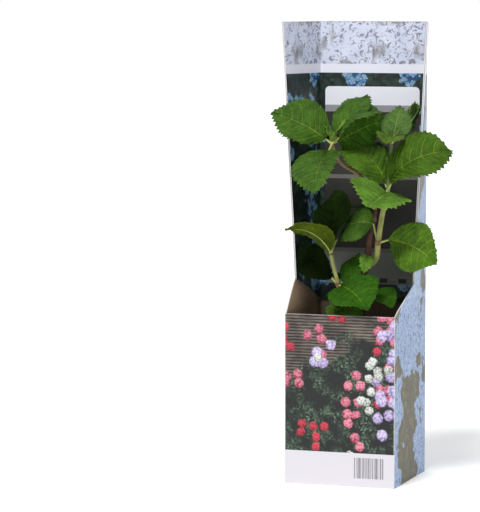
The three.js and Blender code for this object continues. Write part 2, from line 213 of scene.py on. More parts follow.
def folded_sheet(name, columns, rows, height_at, present, outer, inner, face_slots, materials):
    """A closed sheet of board: a grid of columns and rows, cells kept where present() says so,
    with an outer and an inner face and a rim round every free edge."""
    mesh = bmesh.new()
    points, edges = {}, {}
    wrap = lambda corner: (corner[0] % len(columns), corner[1])

    def vertex(corner, depth):
        column, row = wrap(corner)
        if (column, row, depth) not in points:
            panel, place = columns[column]
            points[column, row, depth] = mesh.verts.new(
                wall_point(panel, place, depth, height_at(panel, place, row)))
        return points[column, row, depth]

    for column in range(len(columns)):
        ends = [columns[column][0], columns[(column + 1) % len(columns)][0]]
        panel = "front" if "front" in ends else "back" if "back" in ends else ends[0]
        for row in range(rows):
            if not present(column, row):
                continue
            corners = [(column, row), (column, row + 1), (column + 1, row + 1), (column + 1, row)]
            for depth, order, side in ((outer, corners, panel), (inner, corners[::-1], "inside")):
                face = mesh.faces.new([vertex(corner, depth) for corner in order])
                face.material_index = face_slots[side]
            for a, b in zip(corners, corners[1:] + corners[:1]):
                edges.setdefault(frozenset((wrap(a), wrap(b))), []).append((a, b))
    for (a, b), *others in edges.values():
        if not others:
            ring = ((b, outer), (a, outer), (a, inner), (b, inner))
            rim = mesh.faces.new([vertex(corner, depth) for corner, depth in ring])
            rim.material_index = face_slots["rim"]
    bmesh.ops.remove_doubles(mesh, verts=mesh.verts, dist=1e-6)
    return new_piece(name, mesh, materials)


def round_back(places):
    """The columns of a sheet that goes along the left side, the back and the right side."""
    back = [("back", x) for x in spread(-HALF, HALF, 10)[1:-1]]
    return [("left", a) for a in places[::-1]] + back + [("right", a) for a in places]


columns = round_back(spread(0, WING_FOOT_WIDTH, 8) + spread(WING_FOOT_WIDTH, WIDTH, 6)[1:])
columns += [("front", x) for x in spread(HALF, -HALF, 10)[1:-1]]
LOW_ROWS, CUT_ROWS, WING_ROWS = 8, 6, 22


def sleeve_height(panel, place, row):
    if row <= LOW_ROWS:
        return FRONT * row / LOW_ROWS
    if row <= LOW_ROWS + CUT_ROWS:
        slope = 1 if panel == "back" else min(1, (WIDTH - place) / (WIDTH - WING_FOOT_WIDTH))
        return FRONT + (WING_FOOT - FRONT) * slope * (row - LOW_ROWS) / CUT_ROWS
    return WING_FOOT + (HEIGHT - WING_FOOT) * (row - LOW_ROWS - CUT_ROWS) / WING_ROWS


def sleeve_cell(column, row):
    if row < LOW_ROWS:
        return True
    ends = [columns[column], columns[(column + 1) % len(columns)]]
    if "front" in (ends[0][0], ends[1][0]) or ends[0][1] == ends[1][1] == WIDTH:
        return False
    if row < LOW_ROWS + CUT_ROWS:
        return True
    return all(panel == "back" or place <= WING_FOOT_WIDTH for panel, place in ends)


def place_on(shader):
    """The place on the part, in metres, for a material's patterns."""
    return add(shader.id_data, "TexCoord")["Object"]


def vector(operation, place, other):
    return add(place.tree, "VectorMath", {0: place, 1: other}, operation=operation)


def split(value, kind="XYZ"):
    """The three parts of a place, or of a Color."""
    whole = add(value.tree, f"Separate{kind}", {0: value})
    return [whole[k] for k in range(3)]


def clouds(place, scale, detail=2, **more):
    """Soft noise that varies about a half."""
    return add(place.tree, "TexNoise", {"Vector": place, "Scale": scale, "Detail": detail, **more})


def cells_at(place, scale, randomness=1, **settings):
    """The distance to the middle of a chance cell, with the cell's Position and Color."""
    return add(place.tree, "TexVoronoi",
               {"Vector": place, "Scale": scale, "Randomness": randomness}, **settings)


def ramp(value, low, high, first=0, last=1):
    """Climbs from first to last while the value goes from low to high, and stays there."""
    return add(value.tree, "MapRange", {"Value": value, "From Min": low, "From Max": high,
                                        "To Min": first, "To Max": last})


def clamp(value):
    return add(value.tree, "Clamp", {0: value})


def bump(height, strength, depth):
    return add(height.tree, "Bump", {"Height": height, "Strength": strength, "Distance": depth})


def new_group(name, colours="", numbers=""):
    """An empty node group that takes a Place and more, as (group, its inputs, the Place)."""
    group = bpy.data.node_groups.new(name, "ShaderNodeTree")
    for kind, sockets in (("Vector", "Place"), ("Color", colours), ("Float", numbers)):
        for socket in sockets.split():
            group.interface.new_socket(socket, in_out="INPUT", socket_type=f"NodeSocket{kind}")
    given = Wire(group.nodes.new("NodeGroupInput"))
    return group, given, given["Place"]


def close_group(group, **outputs):
    """Gives a node group its outputs, the Color first."""
    for socket, value in outputs.items():
        kind = "NodeSocketColor" if value.socket.type == "RGBA" else "NodeSocketFloat"
        group.interface.new_socket(socket, in_out="OUTPUT", socket_type=kind)
    feed(group.nodes.new("NodeGroupOutput"), outputs)


def use(group, place, **inputs):
    """A node group at work in a material, with that material's own values."""
    return add(place.tree, "Group", {"Place": place, **inputs}, node_tree=group)


def chance_cells(place, pitch, randomness):
    """The cells that a printed layer is dealt out over: the place in the cell, three chances."""
    scaled = vector("MULTIPLY", place, calc("DIVIDE", 1, pitch))
    cells = cells_at(scaled, 1, randomness, voronoi_dimensions="2D")
    return vector("SUBTRACT", scaled, cells["Position"]), split(cells["Color"], "Color")


FULL_TURN = 6.28
PETALS = 5
# One layer of printed flowers over a colour, each turned and tinted by chance.
printed_blossoms, given, place = new_group("printed_blossoms", "Below Light Dark", "Pitch Where")
local, chance = chance_cells(place, given["Pitch"], 0.85)
x, y = split(local)[:2]
angle = calc("ARCTAN2", y, x) + chance[0] * FULL_TURN
petal = abs(calc("COSINE", angle * PETALS * 0.5))
far = calc("SQRT", x * x + y * y)
edge = (chance[1] * 0.22 + 0.4) * (calc("POWER", petal, 0.5) * 0.5 + 0.5)
inside = clamp((edge - far) * 14 * given["Where"])
lit = (petal * 0.55 + calc("DIVIDE", far, edge) * 0.5) * (chance[2] * 0.6 + 0.55)
body = mix(clamp((0.09 - far) * 30), mix(lit, given["Dark"], given["Light"]), (206, 192, 140))
close_group(printed_blossoms, Color=mix(inside, given["Below"], body))

# Printed foliage in the background: pointed leaves with a pale midrib.
printed_leaves, given, place = new_group("printed_leaves", "Below Light Dark", "Pitch")
local, chance = chance_cells(place, given["Pitch"], 1)
x, y = split(add(printed_leaves, "VectorRotate",
                 {"Vector": local, "Axis": (0, 0, 1), "Angle": chance[0] * FULL_TURN}))[:2]
across = abs(y)
inside = clamp(((0.3 - x * x * 0.9) * 0.9 - across) * 18)
shade = chance[1] * 0.7 + clamp(1 - across * 28) * 0.4
body = mix(shade, given["Dark"], given["Light"])
close_group(printed_leaves, Color=mix(inside, given["Below"], body))

# The pale print at the top: lilac and white, broken by thin grey-brown flecks and smears.
mottled_sky, given, place = new_group("mottled_sky")
pale = mix(clouds(place, 60, 5), (176, 184, 208), (228, 233, 244))
flecks = ramp(clouds(place, 170, 4, Distortion=1.4), 0.53, 0.62, last=0.85)
smear = ramp(clouds(place, 26, 3, Distortion=0.6), 0.57, 0.66, last=0.8)
close_group(mottled_sky, Color=mix(smear, mix(flecks, pale, (112, 110, 126)), (118, 112, 108)))

# The finish of all the print: satin varnish over faintly uneven board, scuffed at the creases.
varnished_board, given, place = new_group("varnished_board", "Print")
rub = clouds(place, 240, 4)
near = [calc("MAXIMUM", 1 - abs(abs(axis) - HALF) * 700, 0) for axis in split(place)[:2]]
worn = clamp(near[0] * near[1] * (rub * 1.5))
close_group(varnished_board, Color=mix(worn, given["Print"], (206, 206, 204)),
            Roughness=ramp(rub, 0, 1, 0.38, 0.52), Height=clouds(place, 90))


def leafage(place, colour, layers):
    """Layers of printed leaves over a colour. A layer is (pitch, dark, light)."""
    for pitch, dark, light in layers:
        colour = use(printed_leaves, place, Below=colour, Pitch=pitch, Dark=dark, Light=light)
    return colour


def picture(place, ground, green, drifts=(), shift=0):
    """A printed garden picture: a dark ground, leaves of two sizes, then drifts of flowers. A
    drift is (breadth, reach, colour under it, layers), a layer (pitch, light, dark)."""
    colour = mix(clouds(place, 22, 3), *ground)
    colour = leafage(place, colour, [(pitch, *green) for pitch in (0.017, 0.010)])
    for step, (breadth, reach, under, layers) in enumerate(drifts):
        offset = vector("ADD", place, (shift + 0.37 * step, 0.21 * step, 0))
        where = ramp(clouds(offset, 1 / breadth, 3.5), 0.62 - reach, 0.65 - reach)
        colour = mix(where * ramp(clouds(offset, 160, 3), 0.2, 0.45), colour, under)
        for pitch, light, dark in layers:
            colour = use(printed_blossoms, offset, Below=colour, Pitch=pitch, Dark=dark,
                         Light=light, Where=where)
    return colour


def band(height, low, high, below, colour):
    """Colour between two heights, and what is below it elsewhere."""
    return mix((height > low) * (height < high), below, colour)


STRIP, FOOT_WHITE = (226, 225, 235), (207, 203, 209)


def headed(place, height, colour, strip=STRIP):
    """A print with its top: a plain strip, and the mottled sky above it."""
    colour = band(height, STRIP_FOOT, HEADER_FOOT, colour, strip)
    return band(height, HEADER_FOOT, 1, colour, use(mottled_sky, place))


def flat_place(shader, across):
    """The place on a printed wall as a flat picture, and its parts on the part."""
    axes = split(place_on(shader))
    return add(shader.id_data, "CombineXYZ", {0: axes[across], 1: axes[2]}), axes


def varnish(shader, colour):
    coat = use(varnished_board, place_on(shader), Print=colour)
    feed(shader, {"Base Color": coat, "Roughness": coat["Roughness"],
                  "Normal": bump(coat["Height"], 0.05, 0.001)})


print_back, shader = new_material("print_back")
place, axes = flat_place(shader, 0)
colour = picture(place, ((10, 18, 20), (32, 46, 36)), ((20, 42, 34), (70, 110, 78)), (
    (0.05, 0.1, (58, 96, 140), ((0.010, (150, 192, 220), (60, 104, 150)),
                                (0.0075, (176, 204, 230), (84, 124, 172)))),
    (0.03, 0.04, (96, 132, 176), ((0.008, (196, 212, 238), (120, 150, 192)),)),
), 1.3)
colour = band(axes[2], -1, FOOT_STRIP, colour, FOOT_WHITE)
varnish(shader, headed(place, axes[2], colour))

print_side, shader = new_material("print_side")
place, axes = flat_place(shader, 1)
colour = picture(place, ((62, 50, 38), (104, 88, 68)), ((62, 58, 36), (112, 116, 66)), (
    (0.07, 0.15, (78, 112, 156), ((0.010, (150, 186, 222), (58, 92, 138)),
                                  (0.0065, (184, 206, 236), (78, 112, 160)),
                                  (0.0045, (172, 194, 230), (70, 100, 146)))),
), 4.1)
varnish(shader, headed(place, axes[2], colour))


# The front wall's own print: clumps of round flower heads before weathered planks and dark
# foliage, over a white strip with a block of plain bars in it.
def flower_heads(place, below, shift, groups):
    """Round heads of small flowers, bunched in clumps. A group is (head breadth, clump breadth,
    how much of the wall it takes, shade colour, light colour)."""
    for step, (breadth, clump, share, dark, light) in enumerate(groups):
        offset = vector("ADD", place, (shift + 0.31 * step, 0.19 * step, 0))
        cells = cells_at(offset, 1 / breadth, 0.7, voronoi_dimensions="2D")
        florets = cells_at(offset, 5 / breadth, voronoi_dimensions="2D")
        inward = clouds(offset, 300) * 0.3 + 0.3 - cells
        bunched = clouds(cells["Position"], 1 / clump, 0.5) > 1 - share
        fall = split(vector("SUBTRACT", offset, cells["Position"]))[1]
        lit = inward * 0.7 + fall * (0.5 / breadth)
        lit = lit + (0.55 - florets) * 0.9 + split(cells["Color"], "Color")[0] * 0.3
        below = mix(clamp(inward * 12) * bunched, below, mix(clamp(lit), dark, light))
    return below


BARS_LEFT, BARS_RIGHT, BARS_FOOT, BARS_TOP = 0.017, 0.0505, 0.0095, 0.0322
print_front, shader = new_material("print_front")
place, axes = flat_place(shader, 0)
planks = add(place.tree, "TexWave", {
    "Vector": place, "Scale": 95, "Distortion": 1.3, "Detail": 3, "Detail Scale": 1.6,
}, bands_direction="Y")
grain = clouds(vector("MULTIPLY", place, (70, 620, 1)), 1, 5, Roughness=0.65)
wood = ramp((planks + 0.6) * grain * clouds(place, 34, 3), 0.14, 0.52)
boards = mix(wood, (18, 15, 12), (126, 114, 103))
colour = picture(place, ((6, 10, 9), (26, 30, 25)), ((12, 26, 20), (58, 82, 64)))
colour = leafage(place, colour, ((0.0062, (12, 26, 20), (82, 110, 88)),
                                 (0.0040, (16, 36, 26), (122, 146, 120))))
colour = mix(ramp(clouds(place, 48, 3), 0.44, 0.6), (18, 22, 19), colour)
climb = axes[2] * 7 - 1 + clouds(place, 26, 4) - axes[0] * 3
colour = mix(ramp(climb, 0.5, 0.6), colour, boards)
colour = flower_heads(place, colour, 3.3, (
    (0.013, 0.045, 0.42, (138, 40, 68), (238, 150, 168)),
    (0.012, 0.040, 0.38, (112, 12, 30), (222, 66, 84)),
    (0.015, 0.050, 0.4, (118, 100, 150), (222, 212, 240)),
    (0.012, 0.036, 0.36, (110, 122, 104), (244, 244, 242)),
))
colour = band(axes[2], -1, FOOT_STRIP, colour, FOOT_WHITE)
lines = add(place.tree, "TexNoise", {"W": axes[0], "Scale": 900, "Detail": 0},
            noise_dimensions="1D")
bars = band(axes[0], BARS_LEFT, BARS_RIGHT, colour, mix(lines > 0.52, FOOT_WHITE, (86, 86, 92)))
varnish(shader, band(axes[2], BARS_FOOT, BARS_TOP, colour, bars))

# Bare board inside, darkened by the back wall as painted shade, and pale where it is cut.
bare_board, shader = new_material("bare_board")
place = place_on(shader)
pulp = clouds(place, 420, 6, Roughness=0.7)
board = mix(ramp(pulp + clouds(place, 14, 3), 0.6, 1.4), (150, 124, 98), (184, 158, 130))
# Painted shade: the board darkens towards the back wall, where shade falls deep in the carton.
painted_shade = ramp(split(place)[1], 0.04, 0.057, last=0.75)
feed(shader, {"Base Color": mix(painted_shade, board, (70, 58, 46)), "Roughness": 0.85,
              "Normal": bump(pulp, 0.25, 0.0004)})
cut_edge, shader = new_material("cut_edge")
fibre = clouds(place_on(shader), 900, 3)
feed(shader, {"Base Color": mix(fibre, (196, 194, 200), (232, 230, 234)), "Roughness": 0.9})

sleeve = folded_sheet(
    "carton_sleeve", columns, LOW_ROWS + CUT_ROWS + WING_ROWS, sleeve_height, sleeve_cell, 0,
    BOARD, {"back": 0, "left": 1, "right": 1, "front": 2, "inside": 3, "rim": 4},
    [print_back, print_side, print_front, bare_board, cut_edge])
soften = sleeve.modifiers.new("soft_creases", "BEVEL")
soften.width = 0.0005
soften.segments = 2
soften.angle_limit = radians(45)
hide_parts("carton_back_panel", "carton_front_panel", "carton_left_side",
            "carton_right_side")
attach(sleeve, "root")

floor_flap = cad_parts["carton_base"]
floor_flap.data.materials.clear()
floor_flap.data.materials.append(bare_board)

# The lining: a ply of printed paper glued inside the back and both wings. Its foot runs level
# across the back and slants up along each wing. A blank label is printed on the back, painted near
# black below its head as painted shade from the leaves.
LINING = 0.0008
LINING_FOOT, LINING_RISE = 0.190, 0.030
LINING_ROWS = 30
GLUE = 0.0003
LABEL_HALF_WIDTH, LABEL_HALF_HEIGHT, LABEL_MIDDLE, LABEL_CORNER = 0.0548, 0.1108, 0.3205, 0.005
LABEL_HEAD = 0.4105
lining_columns = round_back(spread(0, WING_FOOT_WIDTH - 0.0001, 9))


def lining_height(panel, place, row):
    foot = LINING_FOOT + (0 if panel == "back" else LINING_RISE * place / WING_FOOT_WIDTH)
    return foot + (HEIGHT - 0.0004 - foot) * row / LINING_ROWS


print_lining, shader = new_material("print_lining")
x, y, z = split(place_on(shader))
place = add(x.tree, "CombineXYZ", {0: x - calc("SIGN", x) * y, 1: z})
colour = picture(place, ((4, 9, 9), (18, 28, 26)), ((9, 22, 19), (44, 76, 58)), (
    (0.05, 0.09, (30, 70, 112), ((0.012, (112, 166, 204), (36, 82, 126)),
                                 (0.008, (150, 190, 220), (60, 104, 150)))),
), 2.6)
dx = calc("MAXIMUM", abs(x) - (LABEL_HALF_WIDTH - LABEL_CORNER), 0)
dz = calc("MAXIMUM", abs(z - LABEL_MIDDLE) - (LABEL_HALF_HEIGHT - LABEL_CORNER), 0)
label = (calc("SQRT", dx * dx + dz * dz) < LABEL_CORNER) * (y > HALF - 0.004)
# Painted shade: below its white head the label is painted near black, and its printed lines a dim
# grey, for the shade the leaves cast on it.
plate = mix(z > LABEL_HEAD, (43, 41, 36), (239, 239, 247))
plate = band(z, 0, 0.2475, plate, (130, 132, 126))
plate = band(z, 0.4030, LABEL_HEAD, plate, (150, 149, 156))
for line in (0.33, 0.2475, 0.2):
    plate = band(z, line - 0.002, line + 0.0025, plate, (112, 109, 105))
for spot in (0.014, 0.036):
    square = band(x, spot - 0.0045, spot + 0.0045, plate, (30, 28, 32))
    plate = band(z, 0.2115, 0.2165, plate, square)
colour = mix(label, colour, plate)
varnish(shader, headed(place, z, colour, (227, 227, 237)))

lining = folded_sheet(
    "carton_lining", lining_columns, LINING_ROWS, lining_height,
    lambda column, row: column < len(lining_columns) - 1, BOARD + GLUE, BOARD + GLUE + LINING,
    {"back": 1, "left": 1, "right": 1, "inside": 0, "rim": 1}, [print_lining, cut_edge])
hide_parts("lining_back", "lining_left", "lining_right")
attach(lining, "root")

# The nursery pot: thin black plastic drawn down from a sheet, with a deep stepped rim and a
# ribbed wall. It stands loose on the carton's floor and hardly shows.
POT_FOOT, POT_TOP = 0.0018, 0.0998
POT_SIDES = 96
POT_RIBS, RIB_HEIGHT, RIBS_FOOT, RIBS_TOP = 24, 0.0002, 0.006, 0.086
POT_OUTLINE = (
    (0, POT_FOOT), (0.0385, POT_FOOT), (0.0398, POT_FOOT + 0.0008), (0.0402, POT_FOOT + 0.003),
    (0.0435, 0.034), (0.047, 0.065), (0.0498, 0.0895), (0.0502, 0.0905), (0.0527, 0.091),
    (0.0532, 0.0918), (0.0537, 0.0985), (0.054, 0.0992), (0.0537, POT_TOP), (0.052, POT_TOP),
    (0.0514, 0.0992), (0.0511, 0.0925), (0.0484, 0.0885), (0.0455, 0.062), (0.0386, 0.0045),
    (0, 0.0036),
)


def around(sides):
    return [2 * pi * i / sides for i in range(sides)]


def skin(mesh, rings, slots=None):
    """Smooth faces between rings of points. A ring of one point repeated closes the form, and
    slots gives the material of each step from ring to ring."""
    for step, (low, high) in enumerate(zip(rings, rings[1:])):
        for i in range(len(low)):
            after = (i + 1) % len(low)
            corners = [low[i], low[after], high[after], high[i]]
            face = mesh.faces.new([v for n, v in enumerate(corners) if v not in corners[:n]])
            face.smooth = True
            face.material_index = slots[step] if slots else 0


mesh, rings = bmesh.new(), []
for radius, z in POT_OUTLINE:
    if radius == 0:
        rings.append([mesh.verts.new((0, 0, z))] * POT_SIDES)
        continue
    ring = []
    for turn in around(POT_SIDES):
        far = radius + (RIBS_FOOT < z < RIBS_TOP) * RIB_HEIGHT * cos(POT_RIBS * turn)
        ring.append(mesh.verts.new((far * cos(turn), far * sin(turn), z)))
    rings.append(ring)
skin(mesh, rings)
pot_plastic, shader = new_material("pot_plastic")
dust = clouds(place_on(shader), 60, 5)
feed(shader, {"Base Color": mix(dust, (24, 24, 27), (58, 54, 50)),
              "Roughness": ramp(dust, 0, 1, 0.35, 0.7)})
pot = new_piece("pot", mesh, [pot_plastic])
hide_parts("nursery_pot")
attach(pot, "root")

# The potting mix: dark peat pressed into the pot to just under its rim, with crumbs, fibres of
# bark and a few white grains on top.
SOIL_TOP, SOIL_RADIUS = 0.0918, 0.0476
SOIL_RINGS, SOIL_SIDES = 34, 96
CRUMBS, CRUMB_REACH, BARE_MIDDLE = 900, 0.045, 0.009


def soil_height(x, y):
    return SOIL_TOP - 0.0006 + 0.0011 * noise.noise(Vector((x * 120, y * 120, 0.3))) \
        + 0.0009 * noise.noise(Vector((x * 420, y * 420, 1.7)))


soil = bmesh.new()
rings = []
for ring in range(SOIL_RINGS + 1):
    radius = SOIL_RADIUS * ring / SOIL_RINGS
    points = []
    for turn in around(SOIL_SIDES) if ring else (0,):
        x, y = radius * cos(turn), radius * sin(turn)
        points.append(soil.verts.new((x, y, min(soil_height(x, y), SOIL_TOP - 0.0001))))
    rings.append(points if ring else points * SOIL_SIDES)
for taper, z in ((0.97, 0.075), (0.83, 0.0045)):
    rings.append([soil.verts.new((v.co.x * taper, v.co.y * taper, z)) for v in rings[-1]])
skin(soil, rings)
soil.faces.new(rings[-1])
chance = random.Random(31)
for crumb in range(CRUMBS):
    turn, far = chance.uniform(0, 2 * pi), CRUMB_REACH * sqrt(chance.random())
    if far < BARE_MIDDLE:
        continue
    x, y = far * cos(turn), far * sin(turn)
    size = chance.uniform(0.0005, 0.0014)
    slot = 2 if chance.random() < 0.05 else 1
    stretch = Matrix.Diagonal((chance.uniform(0.7, 2.2), 1, 0.6, 1))
    spin = Matrix.Rotation(chance.uniform(0, 6.28), 4, "Z")
    made = bmesh.ops.create_icosphere(
        soil, subdivisions=1, radius=size,
        matrix=Matrix.Translation((x, y, soil_height(x, y) - size * 0.1)) @ spin @ stretch)
    for vertex in made["verts"]:
        vertex.co += Vector([chance.uniform(-0.2, 0.2) * size for _ in range(3)])
        for face in vertex.link_faces:
            face.material_index = slot
soil_grain, given, place = new_group("soil_grain", "Dark Light")
grain = clouds(place, 700, 4)
close_group(soil_grain, Color=mix(grain, given["Dark"], given["Light"]), Height=grain)


def grained(name, group, colours, rough, relief, depth, gloss=0.5):
    """A material that takes its colour and its relief from a node group."""
    material, shader = new_material(name)
    grain = use(group, place_on(shader), **dict(zip(("Dark", "Light", "Net"), colours)))
    feed(shader, {"Base Color": grain, "Roughness": rough, "Specular IOR Level": gloss,
                  "Normal": bump(grain["Height"], relief, depth)})
    return material


peat = new_piece("peat", soil, [
    grained(name, soil_grain, colours, 0.95, 0.6, 0.0006) for name, *colours in (
        ("peat", (26, 18, 12), (66, 48, 34)),
        ("bark_crumb", (46, 32, 22), (96, 72, 50)),
        ("white_grain", (190, 186, 176), (224, 222, 214)))])
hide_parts("potting_soil")
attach(peat, "root")

# The stems: a short old trunk of red-brown wood that leans and forks, and three younger limbs.
# Bark is smooth with raised pores and fine ridges, and swells in a ring where leaves grow.
MM = 0.001
NODES = {
    "crown_left": (-18.5, -32, 371.5), "crown_right": (45, -31, 322.5), "apex": (48, -30, 373),
    "middle": (34, -31, 264.5), "spray_left": (-19.5, -32, 251), "spray_low": (-12.5, -27, 217),
    "low_left": (-9.5, -17.5, 189), "sprout": (16, -8.5, 247), "low_right": (8, -4, 203),
    "back_high": (22.5, -10.5, 288), "back_low": (9, -4, 212),
}
SCAR_REACH, SWELL, SWELL_REACH = 2.2, 0.75, 2.6
FLARE_REACH = 26


def smooth_path(points, step):
    """Even stations along a smooth curve through points, as (place, direction, part)."""
    knots = [Vector(p) for p in points]
    knots = [knots[0] * 2 - knots[1]] + knots + [knots[-1] * 2 - knots[-2]]
    trail = []
    for k in range(1, len(knots) - 2):
        a, b, c, d = knots[k - 1:k + 3]
        gaps = [max((q - p).length ** 0.5, 1e-4) for p, q in ((a, b), (b, c), (c, d))]
        lead = ((b - a) / gaps[0] - (c - a) / (gaps[0] + gaps[1]) + (c - b) / gaps[1]) * gaps[1]
        tail = ((c - b) / gaps[1] - (d - b) / (gaps[1] + gaps[2]) + (d - c) / gaps[2]) * gaps[1]
        for i in range(24):
            t = i / 24
            trail.append(b + lead * t + (c * 3 - b * 3 - lead * 2 - tail) * t * t
                         + (b * 2 - c * 2 + lead + tail) * t ** 3)
    trail.append(knots[-2])
    reach = [0]
    for p, q in zip(trail, trail[1:]):
        reach.append(reach[-1] + (q - p).length)
    count = max(3, round(reach[-1] / step))
    stations, k = [], 0
    for i in range(count + 1):
        goal = reach[-1] * i / count
        while k < len(trail) - 2 and reach[k + 1] < goal:
            k += 1
        share = (goal - reach[k]) / max(1e-9, reach[k + 1] - reach[k])
        stations.append([trail[k].lerp(trail[k + 1], share), None, i / count])
    for i, station in enumerate(stations):
        ahead, behind = stations[min(i + 1, count)][0], stations[max(i - 1, 0)][0]
        station[1] = (ahead - behind).normalized()
    return stations


def path_length(stations):
    return sum((q[0] - p[0]).length for p, q in zip(stations, stations[1:]))


def tube(mesh, stations, radius, sides, slot=lambda place: 0, flat=1):
    """A closed tube; radius(part, turn, place) may vary all over it. Sizes in millimetres."""
    normal = stations[0][1].orthogonal().normalized()
    rings = []
    for place, along, part in stations:
        normal = (normal - along * normal.dot(along)).normalized()
        other = along.cross(normal) * flat
        ring = []
        for turn in around(sides):
            far = radius(part, turn, place)
            point = place + normal * far * cos(turn) + other * far * sin(turn)
            ring.append(mesh.verts.new(point * MM))
        rings.append(ring)
    slots = [slot(place) for place, along, part in stations]
    skin(mesh, rings, slots)
    mesh.faces.new(rings[0][::-1]).material_index = slots[0]
    mesh.faces.new(rings[-1]).material_index = slots[-1]


def finish_piece(name, mesh, materials, node):
    """Turns the mesh into a piece that rides on the part and stands for the CAD node."""
    piece = new_piece(name, mesh, materials)
    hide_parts(node)
    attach(piece, "root")


# Young bark: long fine streaks, small raised pores and a low satin sheen.
bark_grain, given, place = new_group("bark_grain", "Dark Light")
long = vector("MULTIPLY", place, (900, 900, 120))
streak = clouds(long, 1, 5)
share = ramp(streak + clouds(place, 90, 3), 0.75, 1.25)
close_group(bark_grain, Color=mix(share, given["Dark"], given["Light"]),
            Height=(cells_at(long, 0.5) < 0.22) + streak)


def bark(name, dark, light, rough, relief):
    return grained(name, bark_grain, (dark, light), rough, relief, 0.0004)


old_bark = bark("old_bark", (48, 26, 19), (98, 60, 45), 0.7, 0.5)
brown_bark = bark("brown_bark", (92, 70, 44), (140, 118, 72), 0.6, 0.35)
green_bark = bark("green_bark", (112, 118, 54), (162, 164, 90), 0.5, 0.25)
leaf_scar = bark("leaf_scar", (88, 62, 40), (128, 96, 62), 0.7, 0.5)

LIMBS = (
    ("trunk", "main_stem", "bark", old_bark, 5.2, 3, 3,
     [(0, 2, 92.1), (0, 2, 103.8), (3, 0, 145), (6.5, -3, 190), (11.5, -6, 231), (16, -8.5, 252),
      (18.5, -10, 268), (24.5, -11, 299)], ("sprout", "low_right", "back_high", "back_low")),
    ("left_limb", "left_bough", "bark", brown_bark, 2.7, 2, 0,
     [(24.5, -11, 296), (22, -12, 318), (6, -15, 338), (-9, -20, 348), (-14.5, -25, 356),
      NODES["crown_left"]], ("crown_left",)),
    ("right_limb", "right_bough", "green_shoot", green_bark, 3.2, 2.8, 0,
     [(13, -7, 236), (22, -13, 240), (30, -23, 248), NODES["middle"], (39, -31, 297),
      (44.5, -31, 319)], ("middle",)),
    ("low_limb", "low_bough", "green_shoot", green_bark, 3, 2.1, 0,
     [(1, 1, 122), (-5, -9, 160), NODES["low_left"], NODES["spray_low"], (-16, -30, 234),
      NODES["spray_left"]], ("low_left", "spray_low", "spray_left")),
)
for name, node, slot_name, bark_skin, start, end, flare, path, rings in LIMBS:
    mesh = bmesh.new()
    stations = smooth_path(path, 1.4)
    length = path_length(stations)
    knots = [Vector(NODES[ring]) for ring in rings]

    def limb_radius(part, turn, place):
        far = start + (end - start) * part + flare * max(0, 1 - part * length / FLARE_REACH) ** 2
        for knot in knots:
            far += SWELL * exp(-((place - knot).length / SWELL_REACH) ** 2)
        round_x, round_y, along = cos(turn), sin(turn), part * length
        ridge = noise.noise(Vector((round_x * 2.2, round_y * 2.2, along / 16)))
        fine = noise.noise(Vector((round_x * 5, round_y * 5, along / 4)))
        return far * (1 + 0.05 * ridge + 0.03 * fine)

    tube(mesh, stations, limb_radius, 20,
         lambda place: 1 if any((place - knot).length < SCAR_REACH for knot in knots) else 0)
    finish_piece(name, mesh, [bark_skin, leaf_scar], node)

# The leaves: broad, pointed and toothed, quilted between sunk veins that run to the teeth, each
# on a grooved stalk that goes on as a raised rib beneath. They grow in pairs from the nodes.
LEAF_STEPS, LEAF_LAG = 64, 1 / 16
TOOTH_SPACE, TOOTH_DEPTH = 3.6, 2.3
VEIN_SLANT, VEIN_SHARE, RIB_COLUMN = 0.27, 0.008, 0.02
COLUMNS = (RIB_COLUMN, 0.07, 0.14, 0.21, 0.28, 0.36, 0.44, 0.52, 0.6, 0.68, 0.76, 0.84, 0.93, 1)
TOOTH_STEPS = ((0.62, 0.62), (-0.42, 0.3), (-0.3, 0), (0.12, 0.2))


def half_width(part, shoulder):
    if part <= 0 or part >= 1:
        return 0
    return sin(pi * part ** (log(0.5) / log(shoulder))) ** 0.8


